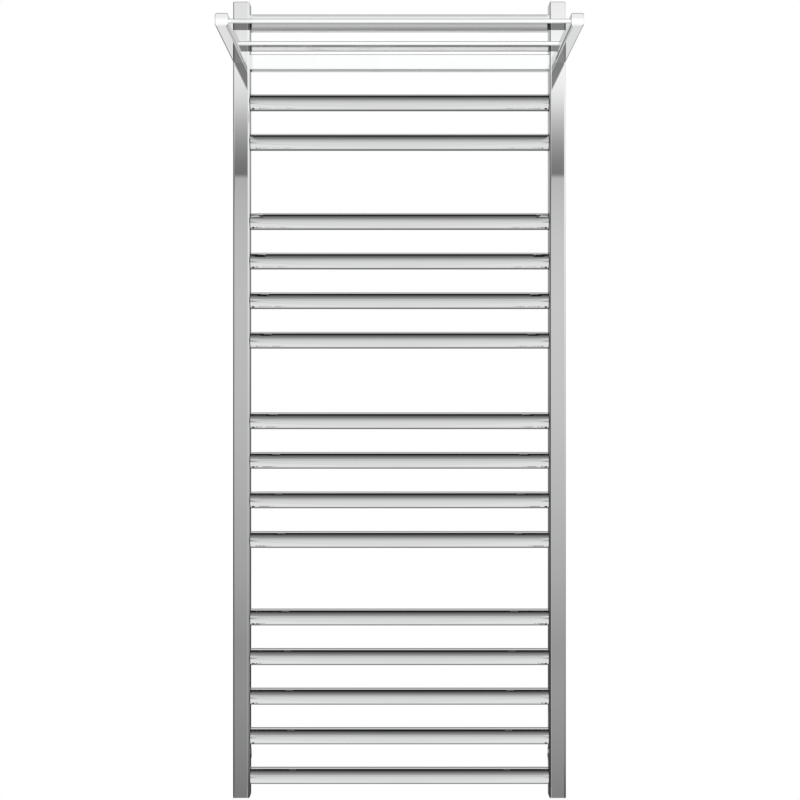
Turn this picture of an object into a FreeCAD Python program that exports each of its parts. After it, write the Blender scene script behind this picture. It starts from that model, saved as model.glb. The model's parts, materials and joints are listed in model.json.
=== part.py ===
import FreeCAD, Part
import math
import os

# Wall-hung ladder towel rail with an overhead towel shelf, warmed by a water circuit.
#
# Millimetres. The origin is on the wall, in the middle of the four wall screws. +X is to the
# right as seen from the room, +Z is up and the room is at -Y. Two rectangular posts carry the
# water up both sides, tubes between them form the ladder, and four telescopic brackets hold
# the rail off the wall. "Left" and "right" are as seen from the room.

Vector = FreeCAD.Vector

# ---- Posts -----------------------------------------------------------------------------------
overall_width = 502.0            # over the outer faces of the two posts
post_width = 25.0
post_depth = 30.0
post_wall = 1.5
post_corner = 3.0                # outer radius of the long corners
top_cap_thickness = 3.0
socket_height = 16.0             # threaded block that closes the foot of each post
socket_bore_radius = 9.3155      # minor radius of a G 1/2 pipe thread
end_chamfer = 0.8                # softened edge of the posts' and the arms' closed ends
port_size = 14.0                 # square openings for the water, from the posts into the cross members

# ---- Ladder ----------------------------------------------------------------------------------
first_rung_height = 31.0         # centre of the lowest tube above the foot of the posts
rung_pitch = 60.0                # centre to centre inside a group
group_counts = (5, 4, 4, 2, 2)   # members in each group, from the bottom
group_gaps = (117.5, 122.0, 120.0, 59.0)   # centre to centre from each group to the next
top_margin = 30.5                # from the centre of the highest member to the top of the posts
rung_diameter = 25.4             # one-inch tube
rung_wall = 1.5
flat_bar_count = 2               # the highest members are flat in front
flat_bar_height = 23.0
flat_bar_depth = 20.0
flat_bar_wall = 1.5
flat_bar_corner = 1.0
flat_bar_recess = 1.0            # flat bars' front faces behind those of the posts

# ---- Shelf -----------------------------------------------------------------------------------
shelf_reach = 220.0              # from the posts' front faces to the front of the shelf
shelf_drop = 83.0                # from the top of the posts down to the middle of the arms
arm_size = 18.0
arm_wall = 1.5
arm_corner = 3.0
arm_cap_thickness = 2.0
slat_depth = 40.0
slat_thickness = 6.0
slat_corner = 1.0
slat_spacing = 127.0             # centre to centre, front slat to rear slat
slat_drop = 1.8                  # middle of the slats below the middle of the arms

# ---- Wall brackets ---------------------------------------------------------------------------
wall_gap = 50.0                  # from the wall to the posts when the rail is pushed right in
bracket_inset = 50.0             # from each end of a post to the middle of its bracket
bracket_travel = 15.0            # how far the rail can be drawn out from the wall
sleeve_size = 16.0
sleeve_wall = 2.0
sleeve_chamfer = 0.8             # along the four outer edges
foot_length = 38.0
foot_clearance = 0.1             # between a wall foot and its sleeve, on each side
wall_screw_hole_radius = 2.75
grub_screw_radius = 2.5
grub_screw_clearance = 0.05      # in the sleeve's hole, and at the bottom of the groove
grub_screw_from_wall = 10.0
grub_socket_flats = 2.5          # across the flats of the key socket
grub_socket_depth = 1.5
groove_depth = 2.0
groove_clearance = 0.15          # groove wider than the screw, on each side

# ---- Air vent and blanking plug, on the back of the posts -------------------------------------
vent_drop = 16.0                 # from the top of the posts down to the middle of the fittings
boss_radius = 8.5
boss_clearance = 0.05            # in the hole through the post's wall
boss_inside = 5.0                # how far a boss reaches inside the post's wall
boss_proud = 2.0
tapping_radius = 5.7225          # minor radius of a G 1/4 pipe thread
plug_clearance = 0.05            # plug shank in the tapping
plug_shank_length = 6.5
plug_head_flats = 14.0
plug_head_thickness = 5.0
plug_head_chamfer = 0.7
key_socket_flats = 6.0           # in the blanking plug
key_socket_depth = 4.0
seal_thickness = 1.5
seal_radius = 6.9
bleed_screw_radius = 2.5
bleed_screw_clearance = 0.05
bleed_port_radius = 1.2          # water passage that the bleed screw's cone closes
bleed_port_length = 2.0
bleed_cone_entry = 0.4           # how far the cone reaches into the port
bleed_outlet_radius = 0.75
bleed_key_flats = 4.0            # square that takes the vent key
bleed_key_length = 5.0

# ---- Places that follow from the sizes ---------------------------------------------------------
half_width = overall_width / 2
post_inner_x = half_width - post_width
post_centre_x = half_width - post_width / 2
post_back_y = -wall_gap
post_front_y = post_back_y - post_depth
post_centre_y = (post_back_y + post_front_y) / 2
shelf_front_y = post_front_y - shelf_reach

SIDES = (("left", -1), ("right", 1))


def member_heights():
    """Centre heights of all the cross members above the foot of the posts, lowest first."""
    heights = []
    height = first_rung_height
    for gap, count in zip((0.0,) + group_gaps, group_counts):
        height += gap
        heights += [height + rung_pitch * index for index in range(count)]
        height = heights[-1]
    return heights


heights = member_heights()
post_height = heights[-1] + top_margin
foot_z = -post_height / 2
top_z = post_height / 2
rung_levels = [foot_z + height for height in heights[:-flat_bar_count]]
flat_bar_levels = [foot_z + height for height in heights[-flat_bar_count:]]
arm_z = top_z - shelf_drop
slat_z = arm_z - slat_drop
bracket_z = top_z - bracket_inset
vent_z = top_z - vent_drop


# ---- Basic shapes ------------------------------------------------------------------------------
def block(low, high):
    """A plain box between two opposite corners."""
    size = high - low
    return Part.makeBox(size.x, size.y, size.z, low)


def runs_along(edge, direction):
    """Whether a straight edge is parallel to a unit direction."""
    run = edge.Vertexes[1].Point - edge.Vertexes[0].Point
    return abs(run.dot(direction)) > run.Length * 0.999


def long_edges(solid, direction):
    """The straight edges of a solid that are parallel to a unit direction."""
    return [edge for edge in solid.Edges if runs_along(edge, direction)]


def bar(low, high, direction, corner):
    """A box whose four edges along one direction are rounded."""
    solid = block(low, high)
    return solid.makeFillet(corner, long_edges(solid, direction))


def hollow_bar(low, high, direction, corner, wall):
    """An open-ended rectangular tube along one direction."""
    inset = (Vector(1, 1, 1) - direction) * wall
    return bar(low, high, direction, corner).cut(block(low + inset, high - inset))


def centred_block(centre, size):
    """A plain box given by its middle and its full sizes."""
    return block(centre - size * 0.5, centre + size * 0.5)


def rod(start, direction, length, radius):
    """A solid cylinder."""
    return Part.makeCylinder(radius, length, start, direction)


def chamfered_end(solid, normal):
    """Soften the rim of the flat end that faces along a normal."""
    end = max(solid.Faces, key=lambda face: face.CenterOfMass.dot(normal))
    return solid.makeChamfer(end_chamfer, end.Edges)


def hexagon(flats, length):
    """A hexagonal prism on the XY plane, standing along +Z."""
    corner_radius = flats / math.sqrt(3)
    angles = [math.radians(60 * corner) for corner in range(7)]
    points = [Vector(corner_radius * math.cos(a), corner_radius * math.sin(a), 0) for a in angles]
    return Part.Face(Part.makePolygon(points)).extrude(Vector(0, 0, length))


X_AXIS = Vector(1, 0, 0)
Y_AXIS = Vector(0, 1, 0)
Z_AXIS = Vector(0, 0, 1)


# ---- Posts -------------------------------------------------------------------------------------
def post_corners(side, low_z, high_z):
    """Opposite corners of a length of the post's outline."""
    inner = side * post_inner_x
    outer = side * half_width
    low = Vector(min(inner, outer), post_front_y, low_z)
    high = Vector(max(inner, outer), post_back_y, high_z)
    return low, high


def water_ports():
    """Bars as long as the ladder is wide that cut the ports out of both posts' inner walls."""
    size = Vector(2 * (post_inner_x + post_wall), port_size, port_size)
    return [centred_block(Vector(0, post_centre_y, level), size)
            for level in rung_levels + flat_bar_levels]


def post(side):
    """One upright tube, open to every cross member and to the boss in its back wall."""
    low, high = post_corners(side, foot_z + socket_height, top_z - top_cap_thickness)
    tube = hollow_bar(low, high, Z_AXIS, post_corner, post_wall)
    start = Vector(side * post_centre_x, post_back_y - post_wall, vent_z)
    boss_hole = rod(start, Y_AXIS, post_wall, boss_radius + boss_clearance)
    return tube.cut(water_ports() + [boss_hole])


def top_cap(side):
    """Plate that closes the top of a post, flush with its faces."""
    low, high = post_corners(side, top_z - top_cap_thickness, top_z)
    return chamfered_end(bar(low, high, Z_AXIS, post_corner), Z_AXIS)


def connection_socket(side):
    """Block in the foot of a post, tapped from below for a valve."""
    low, high = post_corners(side, foot_z, foot_z + socket_height)
    solid = chamfered_end(bar(low, high, Z_AXIS, post_corner), -Z_AXIS)
    mouth = Vector(side * post_centre_x, post_centre_y, foot_z)
    return solid.cut(rod(mouth, Z_AXIS, socket_height, socket_bore_radius))


# ---- Ladder ------------------------------------------------------------------------------------
def rung(level):
    """One round cross tube, butted on the posts' inner faces."""
    start = Vector(-post_inner_x, post_centre_y, level)
    outer = rod(start, X_AXIS, 2 * post_inner_x, rung_diameter / 2)
    return outer.cut(rod(start, X_AXIS, 2 * post_inner_x, rung_diameter / 2 - rung_wall))


def flat_bar_size(length):
    """Outline of a flat-fronted cross bar of some length."""
    return Vector(length, flat_bar_depth, flat_bar_height)


def flat_bar_centre(level):
    """Middle of a flat-fronted cross bar."""
    return Vector(0, post_front_y + flat_bar_recess + flat_bar_depth / 2, level)


def flat_bar(level):
    """One flat-fronted cross tube, butted on the posts' inner faces."""
    centre = flat_bar_centre(level)
    half = flat_bar_size(2 * post_inner_x) * 0.5
    return hollow_bar(centre - half, centre + half, X_AXIS, flat_bar_corner, flat_bar_wall)


# ---- Shelf -------------------------------------------------------------------------------------
def arm_corners(side, front_y, back_y):
    """Opposite corners of a length of an arm, its outer face flush with the post's."""
    inner = side * (half_width - arm_size)
    outer = side * half_width
    low = Vector(min(inner, outer), front_y, arm_z - arm_size / 2)
    high = Vector(max(inner, outer), back_y, arm_z + arm_size / 2)
    return low, high


def shelf_arm(side):
    """Square tube that stands out from a post, its end cut to the post's rounded front."""
    low, high = arm_corners(side, shelf_front_y + arm_cap_thickness, post_front_y + post_corner)
    tube = hollow_bar(low, high, Y_AXIS, arm_corner, arm_wall)
    return tube.cut(bar(*post_corners(side, foot_z, top_z), Z_AXIS, post_corner))


def arm_cap(side):
    """Plate that closes the front end of an arm."""
    low, high = arm_corners(side, shelf_front_y, shelf_front_y + arm_cap_thickness)
    return chamfered_end(bar(low, high, Y_AXIS, arm_corner), -Y_AXIS)


def slat(centre_y):
    """Flat bar between the inner faces of the two arms."""
    half = Vector(overall_width / 2 - arm_size, slat_depth / 2, slat_thickness / 2)
    centre = Vector(0, centre_y, slat_z)
    return bar(centre - half, centre + half, X_AXIS, slat_corner)


# ---- Wall brackets -----------------------------------------------------------------------------
def sleeve(side, level):
    """Square tube on the back of a post that slides over a wall foot."""
    half = sleeve_size / 2
    centre_x = side * post_centre_x
    low = Vector(centre_x - half, post_back_y, level - half)
    high = Vector(centre_x + half, 0, level + half)
    wall = Vector(sleeve_wall, 0, sleeve_wall)
    solid = block(low, high)
    outline = solid.makeChamfer(sleeve_chamfer, long_edges(solid, Y_AXIS))
    screw_hole = rod(Vector(centre_x, -grub_screw_from_wall, level - half), Z_AXIS, sleeve_wall,
                     grub_screw_radius + grub_screw_clearance)
    return outline.cut([block(low + wall, high - wall), screw_hole])


def foot_half_size():
    """Half the width of a wall foot, from the sleeve that slides over it."""
    return sleeve_size / 2 - sleeve_wall - foot_clearance


def groove(centre_x, level):
    """Slot that the grub screw runs in, with its two ends as the stops of the travel."""
    radius = grub_screw_radius + groove_clearance
    bottom = Vector(centre_x, -grub_screw_from_wall, level - foot_half_size())
    travel = Vector(0, -bracket_travel, 0)
    width = X_AXIS * radius
    slot = block(bottom + travel - width, bottom + width + Z_AXIS * groove_depth)
    ends = [rod(centre, Z_AXIS, groove_depth, radius) for centre in (bottom, bottom + travel)]
    return [slot] + ends


def wall_foot(side, level):
    """Square block screwed to the wall through its length, with a groove underneath."""
    half = foot_half_size()
    centre_x = side * post_centre_x
    low = Vector(centre_x - half, -foot_length, level - half)
    high = Vector(centre_x + half, 0, level + half)
    front = Vector(centre_x, -foot_length, level)
    screw_hole = rod(front, Y_AXIS, foot_length, wall_screw_hole_radius)
    return block(low, high).cut([screw_hole] + groove(centre_x, level))


def grub_screw(side, level):
    """Screw through the underside of a sleeve, its tip in the groove of the foot."""
    outer_z = level - sleeve_size / 2
    tip_z = level - foot_half_size() + groove_depth - grub_screw_clearance
    start = Vector(side * post_centre_x, -grub_screw_from_wall, outer_z)
    socket = hexagon(grub_socket_flats, grub_socket_depth)
    socket.translate(start)
    return rod(start, Z_AXIS, tip_z - outer_z, grub_screw_radius).cut(socket)


# ---- Fittings on the back of the posts -----------------------------------------------------------
# Each is made standing along +Z on the post's back face and is then turned to face the wall.
def face_wall(solid, side):
    """Turn a fitting towards the wall and put it on the back of a post."""
    turned = solid.rotated(Vector(0, 0, 0), X_AXIS, -90)
    return turned.translated(Vector(side * post_centre_x, post_back_y, vent_z))


def ring(low_z, high_z, outer_radius, inner_radius):
    """A flat ring or a bored cylinder about the Z axis."""
    start = Vector(0, 0, low_z)
    return rod(start, Z_AXIS, high_z - low_z, outer_radius).cut(
        rod(start, Z_AXIS, high_z - low_z, inner_radius))


def rear_boss():
    """Threaded bush in the back wall of a post."""
    return ring(-post_wall - boss_inside, boss_proud, boss_radius, tapping_radius)


def plug_shank_radius():
    """Radius of the plugs' shanks, from the tapping that they screw into."""
    return tapping_radius - plug_clearance


def plug_seal():
    """Sealing ring between a boss and a plug's head."""
    return ring(boss_proud, boss_proud + seal_thickness, seal_radius, plug_shank_radius() + plug_clearance)


def head_base_z():
    """Underside of the plugs' hexagon heads."""
    return boss_proud + seal_thickness


def plug_blank():
    """Hexagon head with turned corners on a plain shank."""
    head = hexagon(plug_head_flats, plug_head_thickness)
    corner_radius = plug_head_flats / math.sqrt(3)
    cone_radius = corner_radius - plug_head_chamfer
    cone = Part.makeCone(cone_radius + plug_head_thickness, cone_radius, plug_head_thickness)
    head = head.common(cone)
    head.translate(Vector(0, 0, head_base_z()))
    start = Vector(0, 0, head_base_z() - plug_shank_length)
    return head.fuse(rod(start, Z_AXIS, plug_shank_length, plug_shank_radius()))


def blanking_plug():
    """Plug with a hexagon key socket, for the post that has no vent."""
    socket = hexagon(key_socket_flats, key_socket_depth)
    socket.translate(Vector(0, 0, head_base_z() + plug_head_thickness - key_socket_depth))
    return plug_blank().cut(socket)


def bleed_seat_z():
    """Where the vent's wide bore narrows to its port."""
    return head_base_z() - plug_shank_length + bleed_port_length


def vent_body():
    """Plug bored for the bleed screw, with a sharp-edged port and an outlet below the head."""
    top = head_base_z() + plug_head_thickness
    seat = Vector(0, 0, bleed_seat_z())
    port = rod(seat - Z_AXIS * bleed_port_length, Z_AXIS, bleed_port_length, bleed_port_radius)
    bore = rod(seat, Z_AXIS, top - seat.z, bleed_screw_radius + bleed_screw_clearance)
    outlet_start = Vector(0, 0, head_base_z() + plug_head_thickness / 2)
    outlet = rod(outlet_start, Y_AXIS, plug_head_flats, bleed_outlet_radius)
    return plug_blank().cut([port, bore, outlet])


def bleed_screw():
    """Screw whose conical tip closes the vent's port, with a square for the vent key."""
    tip_radius = bleed_port_radius - bleed_screw_clearance - bleed_cone_entry
    cone_height = bleed_screw_radius - tip_radius
    tip_z = bleed_seat_z() - bleed_cone_entry
    top = head_base_z() + plug_head_thickness
    tip = Part.makeCone(tip_radius, bleed_screw_radius, cone_height, Vector(0, 0, tip_z))
    shank = rod(Vector(0, 0, tip_z + cone_height), Z_AXIS, top - tip_z - cone_height,
                bleed_screw_radius)
    key_size = Vector(bleed_key_flats, bleed_key_flats, bleed_key_length)
    key = centred_block(Vector(0, 0, top + bleed_key_length / 2), key_size)
    return tip.fuse([shank, key])


# ---- The whole rail ------------------------------------------------------------------------------
def make_frame(nodes):
    """The two posts with what closes their ends."""
    for name, side in SIDES:
        nodes[name + "_post"] = post(side)
        nodes[name + "_top_cap"] = top_cap(side)
        nodes[name + "_connection_socket"] = connection_socket(side)


def make_ladder(nodes):
    """The cross members, numbered from the bottom."""
    for number, level in enumerate(rung_levels, 1):
        nodes["rung_%02d" % number] = rung(level)
    for number, level in enumerate(flat_bar_levels, 1):
        nodes["flat_bar_%02d" % number] = flat_bar(level)


def make_shelf(nodes):
    """The two arms and the two slats between them."""
    for name, side in SIDES:
        nodes[name + "_shelf_arm"] = shelf_arm(side)
        nodes[name + "_arm_cap"] = arm_cap(side)
    front_slat_y = shelf_front_y + slat_depth / 2
    nodes["front_slat"] = slat(front_slat_y)
    nodes["rear_slat"] = slat(front_slat_y + slat_spacing)


def make_brackets(nodes):
    """Four telescopic brackets; their grub screws share one node."""
    screws = []
    for name, side in SIDES:
        for height, level in (("upper", bracket_z), ("lower", -bracket_z)):
            place = height + "_" + name
            nodes["bracket_sleeve_" + place] = sleeve(side, level)
            nodes["wall_foot_" + place] = wall_foot(side, level)
            screws.append(grub_screw(side, level))
    nodes["grub_screws"] = Part.makeCompound(screws)


def make_rear_fittings(nodes):
    """A threaded boss on each post, the air vent in the right one, a blank in the left one."""
    for name, side in SIDES:
        nodes[name + "_rear_boss"] = face_wall(rear_boss(), side)
    nodes["air_vent_body"] = face_wall(vent_body(), 1)
    nodes["air_vent_seal"] = face_wall(plug_seal(), 1)
    nodes["bleed_screw"] = face_wall(bleed_screw(), 1)
    nodes["blanking_plug"] = face_wall(blanking_plug(), -1)
    nodes["blanking_plug_seal"] = face_wall(plug_seal(), -1)


def make_all():
    """Every piece of the rail, by name."""
    nodes = {}
    for make in (make_frame, make_ladder, make_shelf, make_brackets, make_rear_fittings):
        make(nodes)
    return nodes


os.makedirs("parts", exist_ok=True)
for node_name, shape in make_all().items():
    shape.exportStep("parts/" + node_name + ".step")
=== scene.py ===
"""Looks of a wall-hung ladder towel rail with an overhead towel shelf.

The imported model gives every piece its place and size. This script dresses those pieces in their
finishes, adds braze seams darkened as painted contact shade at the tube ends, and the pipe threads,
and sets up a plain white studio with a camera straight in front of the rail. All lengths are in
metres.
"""
import json
import logging
import math
from dataclasses import dataclass, replace
from enum import Enum

import bmesh
import bpy
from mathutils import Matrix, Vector


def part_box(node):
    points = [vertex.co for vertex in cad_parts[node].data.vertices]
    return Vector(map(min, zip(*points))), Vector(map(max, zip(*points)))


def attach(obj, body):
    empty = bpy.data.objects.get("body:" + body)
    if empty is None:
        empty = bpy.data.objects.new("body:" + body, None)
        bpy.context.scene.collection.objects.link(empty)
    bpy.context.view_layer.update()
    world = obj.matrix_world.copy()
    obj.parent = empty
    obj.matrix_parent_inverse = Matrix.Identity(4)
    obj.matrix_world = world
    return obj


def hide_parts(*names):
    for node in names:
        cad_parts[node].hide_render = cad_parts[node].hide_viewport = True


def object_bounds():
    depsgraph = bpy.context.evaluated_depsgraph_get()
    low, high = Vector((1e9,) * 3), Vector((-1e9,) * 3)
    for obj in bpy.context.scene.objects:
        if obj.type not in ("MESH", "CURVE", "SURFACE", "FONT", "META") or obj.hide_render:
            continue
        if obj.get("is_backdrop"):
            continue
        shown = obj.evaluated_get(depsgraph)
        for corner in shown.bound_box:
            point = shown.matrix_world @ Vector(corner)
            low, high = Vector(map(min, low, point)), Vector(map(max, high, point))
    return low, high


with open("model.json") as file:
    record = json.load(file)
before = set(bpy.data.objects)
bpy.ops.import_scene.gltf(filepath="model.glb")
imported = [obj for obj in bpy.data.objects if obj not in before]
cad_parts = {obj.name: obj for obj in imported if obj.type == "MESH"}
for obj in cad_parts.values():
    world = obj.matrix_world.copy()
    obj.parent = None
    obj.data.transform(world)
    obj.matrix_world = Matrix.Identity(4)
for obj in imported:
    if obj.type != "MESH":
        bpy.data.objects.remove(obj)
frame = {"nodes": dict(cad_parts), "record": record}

log = logging.getLogger("towel_rail")

MM = 0.001
WHITE = (1.0, 1.0, 1.0, 1.0)
BLACK = (0.0, 0.0, 0.0, 1.0)
FULL_TONE = 255            # white, in the tones that the reflections are given in
SHARP_EDGE = 35            # degrees from which an edge of a new piece stays sharp
SHADING_STRIP = 0.1 * MM   # narrow strip beside a rounding, which keeps the flats' shading flat

Socket = bpy.types.NodeSocket
Colour = tuple[float, float, float]
Span = tuple[float, float]
Stops = tuple[tuple[float, float], ...]
Outline = list[tuple[float, float]]


def linear(tone: float) -> float:
    """Turn a display tone from 0 to 1 into linear light.

    Args:
        tone: brightness as a screen shows it.

    Returns:
        The linear value that renders as that tone.
    """
    straight_up_to, slope, lift, power = 0.04045, 12.92, 0.055, 2.4    # of the display curve
    if tone <= straight_up_to:
        return tone / slope
    return ((tone + lift) / (1 + lift)) ** power


def grey(tone: float) -> tuple[float, float, float, float]:
    """A neutral colour with the given display tone."""
    value = linear(tone)
    return (value, value, value, 1.0)


# ---- Node helpers ------------------------------------------------------------------------------
class Graph:
    """A node tree with short calls for adding, setting and joining nodes."""

    def __init__(self, tree: bpy.types.NodeTree) -> None:
        """Keep the tree that the nodes go into."""
        self.tree = tree

    def add(self, kind: str, **settings: object) -> bpy.types.Node:
        """Add a node.

        Args:
            kind: the node's type name, without the ShaderNode prefix.
            settings: properties of the node, by name.

        Returns:
            The new node.
        """
        node = self.tree.nodes.new("ShaderNode" + kind)
        for name, value in settings.items():
            setattr(node, name, value)
        return node

    def set(self, node: bpy.types.Node, **inputs: object) -> bpy.types.Node:
        """Feed some of a node's inputs.

        Args:
            node: the node.
            inputs: a socket or a plain value for each input, by name, with _ for a space.

        Returns:
            The same node.
        """
        for name, value in inputs.items():
            self.feed(node.inputs[name.replace("_", " ")], value)
        return node

    def join(self, source: Socket, target: Socket) -> None:
        """Link an output to an input."""
        self.tree.links.new(source, target)

    def feed(self, target: Socket, value: object) -> None:
        """Give an input a link or a plain value.

        Args:
            target: the input socket.
            value: an output socket, or a number, tuple or colour.
        """
        if isinstance(value, Socket):
            self.join(value, target)
        else:
            target.default_value = value

    def math(self, operation: str, *operands: object) -> Socket:
        """A Math node's result.

        Args:
            operation: the Math node's operation.
            operands: one socket or number for each of its inputs.

        Returns:
            The output socket.
        """
        node = self.add("Math", operation=operation)
        for socket, operand in zip(node.inputs, operands):
            self.feed(socket, operand)
        return node.outputs[0]

    def within(self, value: Socket, limits: Span) -> Socket:
        """1 where a value lies between two limits, and 0 elsewhere."""
        return self.math("MULTIPLY", self.math("GREATER_THAN", value, limits[0]),
                         self.math("LESS_THAN", value, limits[1]))

    def smooth_range(self, value: object, low: float, high: float, to_low: float = 0.0,
                     to_high: float = 1.0) -> Socket:
        """Ease a value from one range into another.

        Args:
            value: the socket or number to ease.
            low: where the easing starts.
            high: where it ends.
            to_low: the result up to low.
            to_high: the result from high on.

        Returns:
            The output socket.
        """
        node = self.add("MapRange", interpolation_type="SMOOTHSTEP")
        self.set(node, Value=value, From_Min=low, From_Max=high, To_Min=to_low, To_Max=to_high)
        return node.outputs["Result"]

    def mix(self, factor: object, first: object, second: object, kind: str = "FLOAT") -> Socket:
        """Blend two numbers or two colours.

        Args:
            factor: 0 for the first, 1 for the second.
            first: a socket or a plain value.
            second: a socket or a plain value.
            kind: FLOAT for numbers, RGBA for colours.

        Returns:
            The output socket.
        """
        node = self.add("Mix", data_type=kind)
        return self.set(node, Factor=factor, A=first, B=second).outputs["Result"]


# ---- Effects that several finishes share ---------------------------------------------------------
class Effect(Enum):
    """Shader node groups, by the name that each has in the file."""

    POLISHING = "Polishing marks"
    PLATING = "Plating waviness"
    HANDLING = "Handling marks"
    TURNING = "Turning marks"


def new_group(name: str, inputs: dict[str, float], outputs: tuple[str, ...]) -> Graph:
    """Start a shader node group.

    Args:
        name: the group's name.
        inputs: its number inputs and their defaults.
        outputs: its number outputs.

    Returns:
        A graph of the group, with its input and output nodes in place.
    """
    tree = bpy.data.node_groups.new(name, "ShaderNodeTree")
    for socket_name, default in inputs.items():
        socket = tree.interface.new_socket(socket_name, in_out="INPUT",
                                           socket_type="NodeSocketFloat")
        socket.default_value = default
    for socket_name in outputs:
        tree.interface.new_socket(socket_name, in_out="OUTPUT", socket_type="NodeSocketFloat")
    tree.nodes.new("NodeGroupInput")
    tree.nodes.new("NodeGroupOutput")
    return Graph(tree)


def group_ends(graph: Graph) -> tuple[bpy.types.NodeOutputs, bpy.types.NodeInputs]:
    """The sockets inside a group that stand for its inputs and its outputs."""
    nodes = graph.tree.nodes
    return nodes["Group Input"].outputs, nodes["Group Output"].inputs


def object_place(graph: Graph) -> Socket:
    """Object coordinates, which stay with a piece when it moves."""
    return graph.add("TexCoord").outputs["Object"]


def noise(graph: Graph, place: Socket, **inputs: object) -> Socket:
    """Smooth noise in space.

    Args:
        graph: the graph to add the node to.
        place: the coordinates.
        inputs: the noise's other inputs, by name.

    Returns:
        The noise, from 0 to 1.
    """
    node = graph.add("TexNoise", noise_dimensions="3D")
    return graph.set(node, Vector=place, **inputs).outputs["Fac"]


def build_polishing() -> None:
    """Fine streaks that the polishing wheel leaves along each bar of the ladder."""
    along, across = 14.0, 1100.0    # streaks in a metre, along the bar and across it
    dulls_from, dulls_fully = 0.42, 0.68    # of the streaks' noise
    graph = new_group(Effect.POLISHING.value, {"Upright": 0.0}, ("Height", "Mask"))
    given, result = group_ends(graph)
    runs = []
    for scale in ((along, across, across), (across, across, along)):
        stretch = graph.add("Mapping", vector_type="POINT")
        graph.set(stretch, Vector=object_place(graph), Scale=scale)
        runs.append(noise(graph, stretch.outputs["Vector"], Scale=1.0, Detail=3.0, Roughness=0.6))
    streaks = graph.mix(given["Upright"], *runs)
    graph.join(streaks, result["Height"])
    graph.join(graph.smooth_range(streaks, dulls_from, dulls_fully), result["Mask"])


def build_plating() -> None:
    """The long shallow waves that a polished and plated tube keeps."""
    graph = new_group(Effect.PLATING.value, {"Wave length": 0.05}, ("Height",))
    given, result = group_ends(graph)
    scale = graph.math("DIVIDE", 1.0, given["Wave length"])
    graph.join(noise(graph, object_place(graph), Scale=scale, Detail=1.0), result["Height"])


def build_handling() -> None:
    """Faint wiped patches and dried water spots that dull a mirror finish here and there."""
    patches_per_metre, cells_per_metre = 11.0, 160.0
    wiped_from, wiped_fully = 0.48, 0.72    # of the patches' noise
    spot_edge, spot_middle = 0.32, 0.22     # distance from a cell's middle, in cells
    rare_from, rare_fully = 0.93, 0.97      # of a cell's random number: few cells hold a spot
    graph = new_group(Effect.HANDLING.value, {"Amount": 0.5}, ("Mask",))
    given, result = group_ends(graph)
    place = object_place(graph)
    patches = noise(graph, place, Scale=patches_per_metre, Detail=4.0, Distortion=0.8)
    cells = graph.set(graph.add("TexVoronoi", feature="F1"), Vector=place, Scale=cells_per_metre)
    wiped = graph.smooth_range(patches, wiped_from, wiped_fully)
    rare = graph.smooth_range(cells.outputs["Color"], rare_from, rare_fully)
    spot = graph.smooth_range(cells.outputs["Distance"], spot_edge, spot_middle)
    dulled = graph.math("MAXIMUM", wiped, graph.math("MULTIPLY", spot, rare))
    graph.join(graph.math("MULTIPLY", dulled, given["Amount"]), result["Mask"])


def build_turning() -> None:
    """Rings left by a lathe tool round an axis that points at the wall."""
    graph = new_group(Effect.TURNING.value, {"Pitch": 0.3 * MM}, ("Height",))
    given, result = group_ends(graph)
    parts = graph.set(graph.add("SeparateXYZ"), Vector=object_place(graph)).outputs
    turns = graph.math("DIVIDE", parts["Y"], given["Pitch"])
    graph.join(graph.math("SINE", graph.math("MULTIPLY", turns, math.tau)), result["Height"])


def build_effects() -> None:
    """Build every shared effect once."""
    for build in (build_polishing, build_plating, build_handling, build_turning):
        build()


# ---- Finishes ------------------------------------------------------------------------------------
class Run(Enum):
    """Which way the polishing marks of a piece run."""

    LEVEL = 0.0
    UPRIGHT = 1.0


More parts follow.
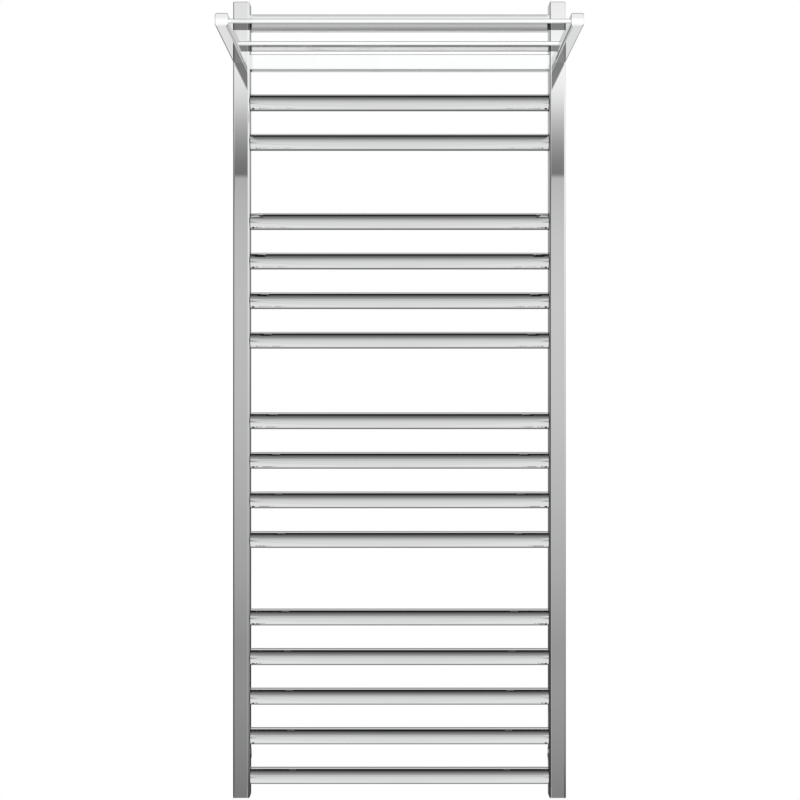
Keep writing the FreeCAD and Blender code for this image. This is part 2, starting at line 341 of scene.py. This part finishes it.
@dataclass(frozen=True)
class Finish:
    """A metal or rubber surface with its own marks."""

    name: str
    colour: Colour
    metallic: float = 1.0
    roughness: float = 0.03
    dulled_roughness: float = 0.12
    dulled_tint: float = 0.97        # of the colour, where the surface is dulled
    polishing: float = 0.0           # height of the polishing marks
    polishing_run: Run = Run.LEVEL
    polishing_dulls: float = 0.25    # how far a polishing mark dulls the surface
    waviness: float = 0.0            # height of the plating's waves
    wave_length: float = 0.05
    handling: float = 0.5
    turning_pitch: float = 0.0
    turning_depth: float = 0.0
    reflection_shade_reach: float = 0.0     # reach of the lighter painted shade on its image in other pieces; 0 paints none
    near_reflection_shade: float = 0.24       # painted shade on its image within that reach
    far_reflection_shade: float = 0.98        # and the near-black painted shade beyond it

    def effect(self, graph: Graph, effect: Effect, **values: float) -> bpy.types.NodeOutputs:
        """Place a shared effect in the material.

        Args:
            graph: the material's graph.
            effect: which effect.
            values: its inputs, with spaces written as underscores.

        Returns:
            The effect's output sockets.
        """
        node = graph.add("Group")
        node.node_tree = bpy.data.node_groups[effect.value]
        return graph.set(node, **values).outputs

    def bump(self, graph: Graph, height: Socket, depth: float, below: Socket | None) -> Socket:
        """Raise a height on top of the normals that earlier bumps gave.

        Args:
            graph: the material's graph.
            height: the height to raise.
            depth: its size in metres.
            below: the normals so far, or None for the bare surface.

        Returns:
            The new normals.
        """
        node = graph.set(graph.add("Bump"), Strength=1.0, Distance=depth, Height=height)
        if below is not None:
            graph.join(below, node.inputs["Normal"])
        return node.outputs["Normal"]

    def marks(self, graph: Graph) -> tuple[Socket, Socket | None]:
        """The marks that the surface carries.

        Args:
            graph: the material's graph.

        Returns:
            Where the surface is dulled, and its normals, or None for a bare surface.
        """
        dull = self.effect(graph, Effect.HANDLING, Amount=self.handling)["Mask"]
        normal = None
        if self.waviness:
            waves = self.effect(graph, Effect.PLATING, Wave_length=self.wave_length)
            normal = self.bump(graph, waves["Height"], self.waviness, normal)
        if self.polishing:
            streaks = self.effect(graph, Effect.POLISHING, Upright=self.polishing_run.value)
            normal = self.bump(graph, streaks["Height"], self.polishing, normal)
            dulled = graph.math("MULTIPLY", streaks["Mask"], self.polishing_dulls)
            dull = graph.math("MAXIMUM", dull, dulled)
        if self.turning_pitch:
            rings = self.effect(graph, Effect.TURNING, Pitch=self.turning_pitch)
            normal = self.bump(graph, rings["Height"], self.turning_depth, normal)
        return dull, normal

    def paint_shade_on_reflection(self, graph: Graph, colour: Socket) -> Socket:
        """Paint shade on the image that other pieces mirror, nearly black in those far away.

        Args:
            graph: the material's graph.
            colour: the surface's own colour.

        Returns:
            The colour for every kind of ray, with the painted shade for glossy rays.
        """
        # Painted shade: glossy rays see the arms' colour darkened toward black, and more so beyond
        # the reach.
        rays = graph.add("LightPath").outputs
        far = graph.math("GREATER_THAN", rays["Ray Length"], self.reflection_shade_reach)
        dimming = graph.mix(far, self.near_reflection_shade, self.far_reflection_shade)
        share = graph.math("MULTIPLY", rays["Is Glossy Ray"], dimming)
        return graph.mix(share, colour, BLACK, "RGBA")

    def build(self) -> bpy.types.Material:
        """Make the material.

        Returns:
            The finished material.
        """
        material = bpy.data.materials.new(self.name)
        material.use_nodes = True
        graph = Graph(material.node_tree)
        dull, normal = self.marks(graph)
        dulled_colour = (*(value * self.dulled_tint for value in self.colour), 1.0)
        colour = graph.mix(dull, (*self.colour, 1.0), dulled_colour, "RGBA")
        if self.reflection_shade_reach:
            colour = self.paint_shade_on_reflection(graph, colour)
        shader = material.node_tree.nodes["Principled BSDF"]
        roughness = graph.mix(dull, self.roughness, self.dulled_roughness)
        graph.set(shader, Base_Color=colour, Metallic=self.metallic, Roughness=roughness)
        if normal is not None:
            graph.join(normal, shader.inputs["Normal"])
        return material


CHROME = (0.86, 0.865, 0.87)
LEVEL_CHROME = Finish("chrome, polished level", CHROME, roughness=0.012, dulled_roughness=0.035,
                      polishing=1.5e-8, waviness=1e-6)
# The arms' chrome carries painted shade on its image in the other pieces.
ARM_CHROME = replace(LEVEL_CHROME, name="chrome, polished along the arms", reflection_shade_reach=0.28)
FLAT_CHROME = replace(LEVEL_CHROME, name="chrome, polished flat", polishing=2e-8, waviness=1e-7)
UPRIGHT_CHROME = replace(LEVEL_CHROME, name="chrome, polished upright", polishing=6e-8,
                         waviness=3e-6, polishing_run=Run.UPRIGHT)
# The seams' dark colour is painted contact shade where the cross tubes meet the posts.
JOINT_SEAM_SHADE = Finish("braze seam, painted contact shade", (0.13, 0.125, 0.12), roughness=0.3, dulled_roughness=0.5,
                handling=0.8)
THREAD_STEEL = Finish("cut steel thread", (0.42, 0.415, 0.41), roughness=0.22, dulled_roughness=0.4,
                      handling=0.9)
ZINC = Finish("zinc plate", (0.62, 0.63, 0.64), roughness=0.32, dulled_roughness=0.5,
              polishing=4e-6, handling=0.9)
BLACK_STEEL = Finish("blackened steel", (0.16, 0.16, 0.165), roughness=0.35, dulled_roughness=0.55,
                     handling=0.8)
NICKEL = Finish("nickel plated brass", (0.74, 0.71, 0.65), roughness=0.14, dulled_roughness=0.3,
                turning_pitch=3e-4, turning_depth=3e-6)
BRASS = Finish("turned brass", (0.80, 0.60, 0.28), roughness=0.2, dulled_roughness=0.38,
               turning_pitch=3e-4, turning_depth=4e-6)
RUBBER = Finish("sealing rubber", (0.03, 0.03, 0.032), metallic=0.0, roughness=0.6,
                dulled_roughness=0.75, handling=0.6)
SLOT_FINISHES = {"chrome": LEVEL_CHROME, "foot_metal": ZINC, "screw_steel": BLACK_STEEL,
                 "plated_brass": NICKEL, "bare_brass": BRASS, "seal_rubber": RUBBER}


# ---- Studio --------------------------------------------------------------------------------------
@dataclass(frozen=True)
class Reflections:
    """What the chrome mirrors: pairs of an angle in degrees and the tone, from 0 to 255, it shows.

    The angles of the vault run from straight ahead (0) up to overhead (90) and on behind the rail
    (180), or down past the floor (-90). All others are elevations. The tables whose names begin
    with shelf are finer ones for the few degrees in which the shelf's pieces look.
    """

    vault: Stops = ((-180, 98), (-160, 100), (-122, 106), (-116, 150), (-110, 204), (-103, 217),
                    (-85, 218), (-60, 217), (-40, 215), (-19, 212), (19, 168), (22, 164),
                    (30, 151), (37, 141), (45, 128), (50, 118), (59, 103), (66, 88), (75, 68),
                    (82, 44), (88, 6), (105, 6), (110, 130), (114, 200), (125, 214), (132, 205),
                    (140, 150), (150, 108), (165, 98), (180, 98))
    ahead: Stops = ((-20, 212), (-13, 210), (-8, 205), (0, 196), (4, 191), (8, 182), (10.5, 167),
                    (12.1, 152), (12.3, 254), (14.8, 254), (15.1, 150), (17, 160), (20, 167))
    ahead_of_posts: Stops = ((-20, 100), (-14.9, 124), (-13.2, 137), (-11.3, 146), (-9.3, 147),
                             (-6.8, 164), (-3.8, 177), (0, 189), (3.8, 193), (6.1, 190),
                             (7.6, 183), (8.45, 176), (8.55, 112), (9.1, 124), (9.8, 149),
                             (10.6, 182), (11.3, 214), (11.8, 228), (12.6, 238), (14.5, 230),
                             (20, 215))
    shelf_ahead: Stops = ((13.3, 252), (14.31, 252), (14.33, 236), (14.38, 236), (14.39, 200),
                          (14.5, 195))
    shelf_ahead_of_posts: Stops = ((13.3, 238), (13.34, 252), (13.5, 252), (13.53, 236),
                                   (14.12, 232), (14.14, 252), (14.31, 252), (14.33, 230),
                                   (14.5, 230))
    behind: Stops = ((-20, 140), (-14.5, 160), (-12.2, 195), (-11, 125), (-2, 110), (20, 100))
    shelf_behind: Stops = ((-14.5, 160), (-14.13, 162), (-14.1, 178), (-14.07, 200), (-14.04, 182),
                           (-14.0, 166), (-13.96, 146), (-13.93, 134), (-13.885, 128),
                           (-13.865, 208), (-13.8, 222), (-13.42, 130), (-13.375, 130),
                           (-13.355, 66), (-13.305, 66), (-13.287, 218), (-13.158, 222),
                           (-13.142, 40), (-13.09, 40), (-12.9, 200), (-12.52, 110),
                           (-12.46, 115), (-12.44, 180), (-12.4, 200), (-12.2, 200))
    behind_posts: Stops = ((-20, 20), (-14.9, 34), (-13.2, 36), (-9.5, 40), (-6.9, 66), (0, 100),
                           (6.1, 126), (7.7, 138), (10.6, 150), (12.3, 156), (20, 170))
    shelf_behind_posts: Stops = ((-14.5, 34), (-14.17, 34), (-14.15, 150), (-13.9, 146),
                                 (-13.88, 90), (-13.8, 90), (-13.78, 34), (-13.37, 34),
                                 (-13.35, 62), (-13.12, 62), (-13.1, 34), (-12.2, 36))
    beside_posts: Stops = ((-20, 217), (-11.5, 217), (-9, 130), (8, 130), (11, 196), (20, 196))
    left: Stops = ((-90, 150), (-40, 150), (-24, 110), (-18, 58), (-15, 36), (-7, 38), (0, 46),
                   (6, 58), (10.6, 76), (12.3, 102), (15, 140), (20, 120), (30, 90), (90, 40))
    left_behind: Stops = ((-90, 150), (-40, 150), (-24, 110), (-14.7, 50), (-13.2, 62),
                          (-6.9, 84), (0, 112), (6.2, 136), (10.6, 142), (15, 160), (20, 130),
                          (30, 90), (90, 40))
    right: Stops = ((-90, 200), (-40, 90), (-15.2, 60), (-14.6, 76), (-13.2, 118), (-11.4, 134),
                    (-9.5, 142), (-6.9, 160), (0, 196), (4.5, 214), (6, 222), (9, 228), (14, 236),
                    (16, 200), (20, 130), (30, 85), (90, 40))


class Sight:
    """A direction in which mirror surfaces look, taken apart for the tables and their limits."""

    least_depth: float = 0.001    # keeps the slope finite straight to the sides

    def __init__(self, graph: Graph) -> None:
        """Take the direction apart.

        Args:
            graph: the world's graph.
        """
        unit = graph.add("VectorMath", operation="NORMALIZE")
        graph.join(graph.add("TexCoord").outputs["Generated"], unit.inputs[0])
        parts = graph.set(graph.add("SeparateXYZ"), Vector=unit.outputs["Vector"]).outputs
        self.right, into, up = parts["X"], parts["Y"], parts["Z"]
        ahead, depth = graph.math("MULTIPLY", into, -1.0), graph.math("ABSOLUTE", into)
        # in degrees: over the rail from front to back, then above the level as seen from the side,
        # and above the level in the direction's own upright plane
        self.round_trip = graph.math("DEGREES", graph.math("ARCTAN2", up, ahead))
        self.elevation = graph.math("DEGREES", graph.math("ARCTAN2", up, depth))
        self.height = graph.math("DEGREES", graph.math("ARCSINE", up))
        self.sideways = graph.math("ABSOLUTE", self.right)
        self.slope = graph.math("DIVIDE", self.sideways,
                                graph.math("MAXIMUM", depth, self.least_depth))
        self.rightward = graph.math("GREATER_THAN", self.right, 0.0)
        self.leftward = graph.math("LESS_THAN", self.right, 0.0)
        self.inward = graph.math("GREATER_THAN", into, 0.0)
        self.outward = graph.math("LESS_THAN", into, 0.0)


@dataclass
class Studio:
    """A white room, a soft lamp and the camera in front of the rail.

    A slope is how far a direction goes sideways for each metre ahead or back, and a share how far
    it goes sideways for each metre of its own length.
    """

    camera_distance: float = 2.25              # from the posts' front faces
    camera_offset: float = 0.75 * MM           # to the right of the rail's middle
    lens: float = 67.23
    sensor: float = 36.0
    floor_drop: float = 0.45                   # below the foot of the rail
    floor_size: float = 12.0
    floor_tone: float = 0.93
    floor_roughness: float = 0.7
    lamp_size: float = 1.6
    lamp_power: float = 12.0
    lamp_place: tuple[float, float, float] = (-1.2, -1.8, 1.6)
    room_tone: float = 0.93                    # what plain surfaces see all round
    fine_angle: float = 19.0                   # up to this elevation the shades change quickly
    front_slope: Span = (0.0975, 0.1000)       # from ahead of the ladder to ahead of the posts
    inner_slope: Span = (0.0988, 0.0994)       # from behind the ladder to behind the posts
    outer_slope: Span = (0.1022, 0.1034)       # and from there to beside the posts
    shelf_slope: Span = (0.1120, 0.1145)       # from where the left ahead is as bright as the right
    side_share: Span = (0.125, 0.30)           # where the left and right come in
    left_ahead_share: Span = (0.50, 0.75)      # where the left does so ahead of the rail
    brighter_right: float = 0.065              # gain ahead on the right, and loss on the left
    brighter_left: float = 0.022               # gain behind on the left, and loss on the right
    brighter_span: float = 0.105               # share at which that loss and gain are reached
    lighter_right_post: float = 1.7            # what its inner side sees, against the left one's
    mirrored: Reflections = Reflections()

    def camera(self, post_front: float) -> None:
        """Stand the camera level in front of the rail.

        Args:
            post_front: where the posts' front faces lie on Y.
        """
        data = bpy.data.cameras.new("camera")
        data.lens = self.lens
        data.sensor_width = self.sensor
        camera = bpy.data.objects.new("camera", data)
        camera.location = (self.camera_offset, post_front - self.camera_distance, 0.0)
        camera.rotation_euler = (math.pi / 2, 0.0, 0.0)
        bpy.context.scene.collection.objects.link(camera)
        bpy.context.scene.camera = camera

    def tones(self, graph: Graph, angle: Socket, stops: Stops) -> Socket:
        """Brightness of the surroundings by angle, at which the chrome shows the given tones.

        Args:
            graph: the world's graph.
            angle: the angle in degrees.
            stops: pairs of angle and tone, with rising angles.

        Returns:
            The brightness.
        """
        node = graph.add("ValToRGB")
        elements = node.color_ramp.elements
        while len(elements) < len(stops):
            elements.new(1.0)
        low, high = stops[0][0], stops[-1][0]
        for element, (degrees, tone) in zip(elements, stops):
            element.position = (degrees - low) / (high - low)
            value = linear(tone / FULL_TONE) / CHROME[0]
            element.color = (value, value, value, 1.0)
        share = graph.math("DIVIDE", graph.math("SUBTRACT", angle, low), high - low)
        return graph.set(node, Fac=share).outputs["Color"]

    def refined_tones(self, graph: Graph, angle: Socket, stops: Stops, fine: Stops) -> Socket:
        """Brightness by angle, with a finer table over the few degrees that it spans.

        Args:
            graph: the world's graph.
            angle: the angle in degrees.
            stops: the wide table.
            fine: the finer one.

        Returns:
            The brightness.
        """
        inside = graph.within(angle, (fine[0][0], fine[-1][0]))
        return graph.mix(inside, self.tones(graph, angle, stops), self.tones(graph, angle, fine))

    def ahead(self, graph: Graph, sight: Sight) -> Socket:
        """What lies ahead of the rail, in the room.

        Args:
            graph: the world's graph.
            sight: the direction.

        Returns:
            The brightness.
        """
        mirrored, angle = self.mirrored, sight.elevation
        ladder = self.refined_tones(graph, angle, mirrored.ahead, mirrored.shelf_ahead)
        posts = self.refined_tones(graph, angle, mirrored.ahead_of_posts,
                                   mirrored.shelf_ahead_of_posts)
        return graph.mix(graph.smooth_range(sight.slope, *self.front_slope), ladder, posts)

    def behind(self, graph: Graph, sight: Sight) -> Socket:
        """What lies behind the rail.

        Args:
            graph: the world's graph.
            sight: the direction.

        Returns:
            The brightness.
        """
        mirrored, angle = self.mirrored, sight.elevation
        ladder = self.refined_tones(graph, angle, mirrored.behind, mirrored.shelf_behind)
        posts = self.refined_tones(graph, angle, mirrored.behind_posts,
                                   mirrored.shelf_behind_posts)
        lighter = graph.mix(sight.leftward, 1.0, self.lighter_right_post)
        level = graph.mix(graph.smooth_range(sight.slope, *self.inner_slope), ladder,
                          graph.math("MULTIPLY", posts, lighter))
        return graph.mix(graph.smooth_range(sight.slope, *self.outer_slope), level,
                         self.tones(graph, angle, mirrored.beside_posts))

    def with_sides(self, graph: Graph, sight: Sight, shade: Socket) -> Socket:
        """Bring in what lies to the left and right of the rail.

        Args:
            graph: the world's graph.
            sight: the direction.
            shade: the brightness of all that lies ahead, behind, above and below.

        Returns:
            The brightness all round.
        """
        mirrored = self.mirrored
        left_ahead = graph.math("MULTIPLY", sight.leftward, sight.outward)
        share = graph.mix(left_ahead, graph.smooth_range(sight.sideways, *self.side_share),
                          graph.smooth_range(sight.sideways, *self.left_ahead_share))
        left = graph.mix(sight.inward, self.tones(graph, sight.height, mirrored.left),
                         self.tones(graph, sight.height, mirrored.left_behind))
        right = self.tones(graph, sight.height, mirrored.right)
        return graph.mix(share, shade, graph.mix(sight.rightward, left, right))

    def gain(self, graph: Graph, sight: Sight) -> Socket:
        """How much brighter the room is towards one side.

        Args:
            graph: the world's graph.
            sight: the direction.

        Returns:
            The factor on the brightness.
        """
        more, less, span = self.brighter_right, self.brighter_left, self.brighter_span
        posts = graph.mix(sight.rightward, 1 - more, 1 + more)
        ahead = graph.mix(graph.smooth_range(sight.slope, *self.front_slope), 1.0, posts)
        ahead = graph.mix(graph.smooth_range(sight.slope, *self.shelf_slope), ahead, 1 + more)
        behind = graph.smooth_range(sight.right, -span, span, 1 + less, 1 - less)
        return graph.mix(sight.inward, ahead, behind)

    def mirrored_studio(self, graph: Graph) -> Socket:
        """The shaded studio that only mirror surfaces see.

        Args:
            graph: the world's graph.

        Returns:
            Its brightness in each direction.
        """
        sight = Sight(graph)
        level = graph.mix(sight.inward, self.ahead(graph, sight), self.behind(graph, sight))
        near = graph.math("LESS_THAN", graph.math("ABSOLUTE", sight.elevation), self.fine_angle)
        vault = self.tones(graph, sight.round_trip, self.mirrored.vault)
        shade = self.with_sides(graph, sight, graph.mix(near, vault, level))
        return graph.math("MULTIPLY", shade, self.gain(graph, sight))

    def surroundings(self) -> None:
        """The world: white to the camera, plain to dull surfaces, a shaded studio in the chrome."""
        world = bpy.data.worlds.new("studio")
        world.use_nodes = True
        bpy.context.scene.world = world
        graph = Graph(world.node_tree)
        background = world.node_tree.nodes["Background"]
        rays = graph.add("LightPath").outputs
        seen = graph.mix(rays["Is Glossy Ray"], linear(self.room_tone),
                         self.mirrored_studio(graph))
        seen = graph.mix(rays["Is Camera Ray"], seen, 1.0)
        graph.set(background, Color=WHITE, Strength=seen)

    def floor(self, foot: float) -> None:
        """A pale floor under the rail, white to the camera as the room is.

        Args:
            foot: the height of the rail's lowest point.
        """
        mesh = bpy.data.meshes.new("floor")
        form = bmesh.new()
        bmesh.ops.create_grid(form, x_segments=1, y_segments=1, size=self.floor_size / 2)
        form.to_mesh(mesh)
        form.free()
        floor = bpy.data.objects.new("floor", mesh)
        floor.location = (0.0, 0.0, foot - self.floor_drop)
        bpy.context.scene.collection.objects.link(floor)
        material = bpy.data.materials.new("pale floor")
        material.use_nodes = True
        graph = Graph(material.node_tree)
        nodes = material.node_tree.nodes
        plain = nodes["Principled BSDF"]
        graph.set(plain, Base_Color=grey(self.floor_tone), Roughness=self.floor_roughness)
        choice = graph.add("MixShader")
        graph.set(choice, Fac=graph.add("LightPath").outputs["Is Camera Ray"])
        graph.join(plain.outputs["BSDF"], choice.inputs[1])
        graph.join(graph.add("Emission").outputs["Emission"], choice.inputs[2])
        graph.join(choice.outputs["Shader"], nodes["Material Output"].inputs["Surface"])
        mesh.materials.append(material)
        floor.visible_glossy = False
        floor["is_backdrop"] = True

    def lamp(self) -> None:
        """One large soft lamp above and to the left, which the chrome doesn't mirror."""
        data = bpy.data.lights.new("soft lamp", "AREA")
        data.size = self.lamp_size
        data.energy = self.lamp_power
        lamp = bpy.data.objects.new("soft lamp", data)
        lamp.location = self.lamp_place
        lamp.rotation_euler = (-Vector(self.lamp_place)).to_track_quat("-Z", "Y").to_euler()
        lamp.visible_glossy = False
        bpy.context.scene.collection.objects.link(lamp)


# ---- Meshes --------------------------------------------------------------------------------------
def round_outline(radius: float, count: int) -> Outline:
    """A circle as points round its middle."""
    turns = [math.tau * step / count for step in range(count)]
    return [(radius * math.cos(turn), radius * math.sin(turn)) for turn in turns]


def box_outline(half_width: float, half_height: float, corner: float, steps: int) -> Outline:
    """A rounded rectangle as points round its middle.

    Args:
        half_width: half its size on the first axis.
        half_height: half its size on the second axis.
        corner: radius of its corners.
        steps: pieces that each corner is divided into.

    Returns:
        The points, anticlockwise from the start of the first corner.
    """
    points = []
    for quarter, (sign_u, sign_v) in enumerate(((1, 1), (-1, 1), (-1, -1), (1, -1))):
        middle_u = sign_u * (half_width - corner)
        middle_v = sign_v * (half_height - corner)
        arc = []
        for step in range(steps + 1):
            turn = math.pi / 2 * (quarter + step / steps)
            arc.append((middle_u + corner * math.cos(turn), middle_v + corner * math.sin(turn)))
        first, last = math.pi / 2 * quarter, math.pi / 2 * (quarter + 1)
        before = (arc[0][0] + SHADING_STRIP * math.sin(first),
                  arc[0][1] - SHADING_STRIP * math.cos(first))
        beyond = (arc[-1][0] - SHADING_STRIP * math.sin(last),
                  arc[-1][1] + SHADING_STRIP * math.cos(last))
        points += [before, *arc, beyond]
    return points


def new_piece(name: str, form: bmesh.types.BMesh,
              finishes: list[bpy.types.Material]) -> bpy.types.Object:
    """Turn a finished form into a piece of the rail.

    Args:
        name: the piece's name.
        form: its mesh, which is freed.
        finishes: its materials, in the order of the faces' material numbers.

    Returns:
        The piece, riding on the rail.
    """
    bmesh.ops.recalc_face_normals(form, faces=form.faces)
    mesh = bpy.data.meshes.new(name)
    form.to_mesh(mesh)
    form.free()
    mesh.shade_smooth()
    mesh.set_sharp_from_angle(angle=math.radians(SHARP_EDGE))
    for finish in finishes:
        mesh.materials.append(finish)
    piece = bpy.data.objects.new(name, mesh)
    bpy.context.scene.collection.objects.link(piece)
    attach(piece, "rail")
    return piece


def loop_rows(form: bmesh.types.BMesh, rows: list[list[Vector]], closed: bool,
              material: int = 0) -> list[list[bmesh.types.BMVert]]:
    """Skin a stack of closed loops that all have as many points.

    Args:
        form: the mesh to add to.
        rows: the loops' points.
        closed: whether the last loop joins the first again.
        material: the faces' material number.

    Returns:
        The vertices of each loop.
    """
    loops = [[form.verts.new(point) for point in row] for row in rows]
    pairs = list(zip(loops, loops[1:])) + ([(loops[-1], loops[0])] if closed else [])
    for first, second in pairs:
        for index in range(len(first)):
            after = (index + 1) % len(first)
            face = form.faces.new((first[index], first[after], second[after], second[index]))
            face.material_index = material
    return loops


# ---- Braze seams with painted contact shade, and tapped feet -------------------------------------
@dataclass
class JointSeamsWithPaintedShade:
    """Narrow hollow seams of braze round the ends of the cross tubes, dark as painted contact
    shade.
    """

    reach: float = 1.0 * MM            # along the tube
    rise: float = 0.9 * MM             # up the side of the post
    sunk: float = 0.6 * MM             # how far the seam starts inside the post's side
    under: float = 0.15 * MM           # how far it lies below the tube's surface
    hollow_steps: int = 4
    ring_points: int = 56

    def profile(self) -> Outline:
        """The seam's section.

        Returns:
            Points by their distance from the post and height above the tube.
        """
        points = [(-self.sunk, -self.under), (-self.sunk, self.rise)]
        for step in range(self.hollow_steps + 1):
            turn = math.pi / 2 * step / self.hollow_steps
            points.append((self.reach * (1 - math.cos(turn)), self.rise * (1 - math.sin(turn))))
        points.append((self.reach, -self.under))
        return points

    def build(self, side: str, tubes: list[str], finish: bpy.types.Material) -> None:
        """Make all the seams on one post as one piece.

        Args:
            side: left or right.
            tubes: the cross tubes' nodes.
            finish: the material.
        """
        form = bmesh.new()
        for node in tubes:
            low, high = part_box(node)
            end_x, inward = (low.x, 1.0) if side == "left" else (high.x, -1.0)
            middle_y, middle_z = (low.y + high.y) / 2, (low.z + high.z) / 2
            radius = (high.z - low.z) / 2
            rows = []
            for away, lift in self.profile():
                ring = round_outline(radius + lift, self.ring_points)
                rows.append([Vector((end_x + inward * away, middle_y + y, middle_z + z))
                             for y, z in ring])
            loop_rows(form, rows, closed=True)
        # One piece of seams per post, coloured as painted contact shade at the joints.
        new_piece(side + "_brazed_joints", form, [finish])
        log.info("brazed joints on the %s post", side)


@dataclass
class ConnectionSocket:
    """The foot of a post, tapped with a G 1/2 pipe thread for the valve."""

    corner: float = 3.0 * MM
    edge_chamfer: float = 0.8 * MM
    minor_radius: float = 9.3155 * MM
    major_radius: float = 10.4775 * MM
    pitch: float = 1.8143 * MM
    mouth_radius: float = 10.6 * MM
    rows_per_turn: int = 8
    corner_steps: int = 12

    def thread_radius(self, height: float, turn: float) -> float:
        """Radius of the threaded bore.

        Args:
            height: height above the mouth.
            turn: share of a turn round the bore.

        Returns:
            The radius there.
        """
        wave = 0.5 - 0.5 * math.cos(math.tau * (height / self.pitch - turn))
        cut = self.minor_radius + (self.major_radius - self.minor_radius) * wave
        return max(cut, self.mouth_radius - height)

    def bore(self, tall: float, count: int) -> list[tuple[float, Outline]]:
        """The threaded bore as a stack of rings.

        Args:
            tall: the foot's height.
            count: points in each ring.

        Returns:
            Each ring's height above the mouth, and its points round the middle.
        """
        rows = int(tall / self.pitch * self.rows_per_turn)
        rings = []
        for row in range(rows + 1):
            height = tall * row / rows
            ring = []
            for index in range(count):
                turn = index / count
                radius, angle = self.thread_radius(height, turn), math.tau * turn
                ring.append((radius * math.cos(angle), radius * math.sin(angle)))
            rings.append((height, ring))
        return rings

    def build(self, side: str, finishes: list[bpy.types.Material]) -> None:
        """Make the tapped foot and put it in the place of the plain one.

        Args:
            side: left or right.
            finishes: the chrome outside and the cut steel of the thread.
        """
        node = side + "_connection_socket"
        low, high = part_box(node)
        middle = (low + high) / 2
        half_x, half_y, tall = middle.x - low.x, middle.y - low.y, high.z - low.z

        def level(points: Outline, height: float) -> list[Vector]:
            """Points of an outline at a height above the foot."""
            return [Vector((middle.x + x, middle.y + y, low.z + height)) for x, y in points]

        inset = self.edge_chamfer
        wide = box_outline(half_x, half_y, self.corner, self.corner_steps)
        narrow = box_outline(half_x - inset, half_y - inset, self.corner - inset, self.corner_steps)
        form = bmesh.new()
        heights = (inset, inset + SHADING_STRIP, tall)
        outer = loop_rows(form, [level(narrow, 0.0), *(level(wide, up) for up in heights)],
                          closed=False)
        count, cut_steel = len(wide), 1    # points in each loop, and the second finish's number
        rings = [level(ring, height) for height, ring in self.bore(tall, count)]
        inner = loop_rows(form, rings, closed=False, material=cut_steel)
        for outside, inside in ((outer[0], inner[0]), (outer[-1], inner[-1])):
            for index in range(count):
                after = (index + 1) % count
                form.faces.new((outside[index], outside[after], inside[after], inside[index]))
        piece = new_piece(side + "_tapped_foot", form, finishes)
        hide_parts(node)
        log.info("tapped foot of the %s post", side)


# ---- The rail ------------------------------------------------------------------------------------
@dataclass
class Rail:
    """The welded ladder with its shelf, and the fittings on it.

    Pieces whose names begin with one of the unmirrored words don't show in the other pieces.
    """

    upright_parts: tuple[str, ...] = ("left_post", "right_post", "left_top_cap", "right_top_cap",
                                      "left_connection_socket", "right_connection_socket")
    arms: tuple[str, ...] = ("left_shelf_arm", "right_shelf_arm", "left_arm_cap", "right_arm_cap")
    slats: tuple[str, ...] = ("front_slat", "rear_slat")
    unmirrored: tuple[str, ...] = ("rung", "flat_bar", "front_slat", "rear_slat")

    def finish_of(self, node: str, slot: str) -> Finish:
        """Which finish a node takes.

        Args:
            node: the node's name.
            slot: its material slot in the record.

        Returns:
            Its finish.
        """
        for nodes, finish in ((self.upright_parts, UPRIGHT_CHROME), (self.arms, ARM_CHROME),
                              (self.slats, FLAT_CHROME)):
            if node in nodes:
                return finish
        return SLOT_FINISHES[slot]

    def dress(self) -> None:
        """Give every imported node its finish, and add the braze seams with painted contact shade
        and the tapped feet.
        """
        finishes = (LEVEL_CHROME, ARM_CHROME, FLAT_CHROME, UPRIGHT_CHROME, ZINC, BLACK_STEEL,
                    NICKEL, BRASS, RUBBER, JOINT_SEAM_SHADE, THREAD_STEEL)
        built = {finish.name: finish.build() for finish in finishes}
        slots = {item["node"]: item["material_slot"] for item in frame["record"]["subparts"]}
        for name, piece in frame["nodes"].items():
            finish = self.finish_of(name, slots[name])
            piece.material_slots[0].material = built[finish.name]
            piece.visible_glossy = not name.startswith(self.unmirrored)
            log.info("%s takes %s", name, finish.name)
        tubes = [name for name in frame["nodes"] if name.startswith("rung")]
        for side in ("left", "right"):
            JointSeamsWithPaintedShade().build(side, tubes, built[JOINT_SEAM_SHADE.name])
            ConnectionSocket().build(side, [built[UPRIGHT_CHROME.name], built[THREAD_STEEL.name]])


# ---- The whole scene -----------------------------------------------------------------------------
def clear_startup() -> None:
    """Remove the objects that a new file starts with."""
    for name in ("Cube", "Light", "Camera"):
        if name in bpy.data.objects:
            bpy.data.objects.remove(bpy.data.objects[name])


def main() -> None:
    """Dress the rail and set up the studio."""
    logging.basicConfig(level=logging.INFO)
    clear_startup()
    cad_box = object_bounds()
    bpy.context.scene.view_settings.view_transform = "Standard"
    post_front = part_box("left_post")[0].y
    studio = Studio()
    studio.camera(post_front)
    build_effects()
    Rail().dress()
    studio.surroundings()
    studio.floor(cad_box[0].z)
    studio.lamp()


if __name__ == "__main__":
    main()
